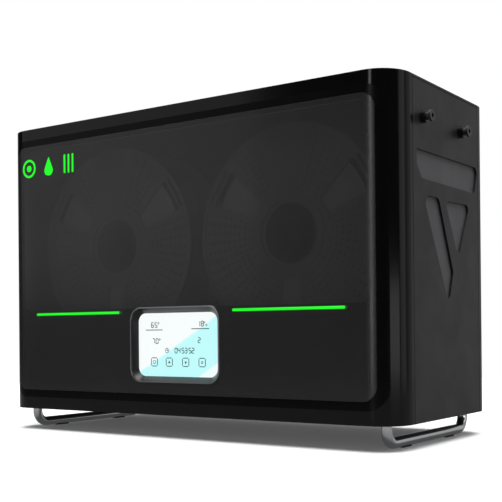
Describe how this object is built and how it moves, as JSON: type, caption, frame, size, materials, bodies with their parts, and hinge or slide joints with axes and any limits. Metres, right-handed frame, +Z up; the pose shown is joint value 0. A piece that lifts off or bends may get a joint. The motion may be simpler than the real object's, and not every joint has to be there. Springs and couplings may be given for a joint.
{
  "type": "filament drying box",
  "caption": "Heated box with a smoked window, lit display, hinged lid and push-fit tube outlets, holding filament spools on rollers above circulation fans.",
  "frame": {"origin": "on the table, under the middle of the box", "axes": "+Z up, +X to the right end seen from the front, -Y towards the front with the window and display"},
  "size_m": [0.4804, 0.2085, 0.3135],
  "materials": {
    "shell_gloss": "gloss",
    "frame_band": "gloss",
    "smoked_acrylic": "smoked gloss",
    "black_backing": "matte",
    "light_guide": "lit, satin",
    "board_green": "satin",
    "print_green": "print",
    "bezel_black": "satin",
    "clear_glass": "polished",
    "lit_screen": "lit",
    "shell_satin": "satin",
    "inlay_grey": "satin",
    "polished_steel": "polished",
    "nickel_magnet": "plated",
    "chamber_plastic": "fine grain",
    "seal_rubber": "matte",
    "spool_plastic": "satin",
    "filament_dark": "satin",
    "roller_plastic": "satin",
    "brushed_plate": "brushed",
    "fan_plastic": "satin",
    "heater_alloy": "satin",
    "rocker_plastic": "gloss",
    "loom_sleeve": "braided",
    "collet_plastic": "gloss",
    "outlet_black": "gloss",
    "nut_metal": "plain",
    "chromed_rod": "mirror",
    "pad_rubber": "matte",
    "spacer_metal": "plain",
    "screw_metal": "black oxide"
  },
  "bodies": {
    "case": {"front_shell": "shell_gloss", "window_frame": "frame_band", "front_window": "smoked_acrylic", "fascia_carrier": "black_backing", "light_bars": "light_guide", "led_boards": "board_green", "front_icons": "print_green", "display_bezel": "bezel_black", "display_glass": "clear_glass", "lcd_panel": "lit_screen", "control_board": "board_green", "side_panel_left": "shell_satin", "side_panel_right": "shell_satin", "side_inlays": "inlay_grey", "rear_shell": "shell_satin", "base_pan": "shell_satin", "top_frame": "shell_satin", "hinge_pins": "polished_steel", "latch_magnets": "nickel_magnet", "lid_gasket": "seal_rubber", "chamber_liner_left": "chamber_plastic", "chamber_liner_right": "chamber_plastic", "chamber_liner_back": "chamber_plastic", "chamber_sill": "chamber_plastic", "deck_plate": "chamber_plastic", "roller_axles": "polished_steel", "roller_rails": "brushed_plate", "fan_frames": "fan_plastic", "heater_cores": "heater_alloy", "power_supply": "brushed_plate", "mains_inlet": "bezel_black", "switch_frame": "bezel_black", "humidity_sensor": "board_green", "wire_looms": "loom_sleeve", "outlet_bodies": "outlet_black", "lock_nuts": "nut_metal", "foot_left": "chromed_rod", "foot_right": "chromed_rod", "foot_pads": "pad_rubber", "spacers": "spacer_metal", "case_screws": "screw_metal"},
    "lid": {"lid_panel": "shell_satin", "lid_liner": "chamber_plastic", "lid_magnets": "nickel_magnet"},
    "spool_left": {"spool_left": "spool_plastic", "filament_left": "filament_dark"},
    "spool_right": {"spool_right": "spool_plastic", "filament_right": "filament_dark"},
    "roller_1": {"roller_1": "roller_plastic"},
    "roller_2": {"roller_2": "roller_plastic"},
    "roller_3": {"roller_3": "roller_plastic"},
    "roller_4": {"roller_4": "roller_plastic"},
    "fan_rotor_left": {"fan_rotor_left": "fan_plastic"},
    "fan_rotor_right": {"fan_rotor_right": "fan_plastic"},
    "vent_fan_rotor": {"vent_fan_rotor": "fan_plastic"},
    "rocker": {"rocker": "rocker_plastic"},
    "collet_left_front": {"outlet_collet_left_front": "collet_plastic"},
    "collet_left_rear": {"outlet_collet_left_rear": "collet_plastic"},
    "collet_right_front": {"outlet_collet_right_front": "collet_plastic"},
    "collet_right_rear": {"outlet_collet_right_rear": "collet_plastic"}
  },
  "joints": [
    {"name": "lid_hinge", "type": "hinge", "parent": "case", "child": "lid", "pos_m": [0, 0.0829, 0.31], "axis": [-1, 0, 0], "range_deg": [0, 95]},
    {"name": "spool_left_spin", "type": "hinge", "parent": "case", "child": "spool_left", "pos_m": [-0.107, -0.0346, 0.189], "axis": [0, 1, 0], "continuous": true},
    {"name": "spool_right_spin", "type": "hinge", "parent": "case", "child": "spool_right", "pos_m": [0.107, -0.0346, 0.189], "axis": [0, 1, 0], "continuous": true},
    {"name": "roller_1_spin", "type": "hinge", "parent": "case", "child": "roller_1", "pos_m": [-0.15784, 0.0014, 0.09338], "axis": [0, 1, 0], "continuous": true},
    {"name": "roller_2_spin", "type": "hinge", "parent": "case", "child": "roller_2", "pos_m": [-0.05616, 0.0014, 0.09338], "axis": [0, 1, 0], "continuous": true},
    {"name": "roller_3_spin", "type": "hinge", "parent": "case", "child": "roller_3", "pos_m": [0.05616, 0.0014, 0.09338], "axis": [0, 1, 0], "continuous": true},
    {"name": "roller_4_spin", "type": "hinge", "parent": "case", "child": "roller_4", "pos_m": [0.15784, 0.0014, 0.09338], "axis": [0, 1, 0], "continuous": true},
    {"name": "fan_left_spin", "type": "hinge", "parent": "case", "child": "fan_rotor_left", "pos_m": [-0.107, 0, 0.0445], "axis": [0, 0, 1], "continuous": true},
    {"name": "fan_right_spin", "type": "hinge", "parent": "case", "child": "fan_rotor_right", "pos_m": [0.107, 0, 0.0445], "axis": [0, 0, 1], "continuous": true},
    {"name": "vent_fan_spin", "type": "hinge", "parent": "case", "child": "vent_fan_rotor", "pos_m": [0.15, 0.0853, 0.252], "axis": [0, 1, 0], "continuous": true},
    {"name": "rocker_tilt", "type": "hinge", "parent": "case", "child": "rocker", "pos_m": [-0.125, 0.101, 0.054], "axis": [-1, 0, 0], "range_deg": [0, 16]},
    {"name": "collet_left_front_push", "type": "slide", "parent": "case", "child": "collet_left_front", "axis": [1, 0, 0], "range_m": [0, 0.0015], "stiffness_N_per_m": 400, "springref_m": -0.002},
    {"name": "collet_left_rear_push", "type": "slide", "parent": "case", "child": "collet_left_rear", "axis": [1, 0, 0], "range_m": [0, 0.0015], "stiffness_N_per_m": 400, "springref_m": -0.002},
    {"name": "collet_right_front_push", "type": "slide", "parent": "case", "child": "collet_right_front", "axis": [-1, 0, 0], "range_m": [0, 0.0015], "stiffness_N_per_m": 400, "springref_m": -0.002},
    {"name": "collet_right_rear_push", "type": "slide", "parent": "case", "child": "collet_right_rear", "axis": [-1, 0, 0], "range_m": [0, 0.0015], "stiffness_N_per_m": 400, "springref_m": -0.002}
  ]
}
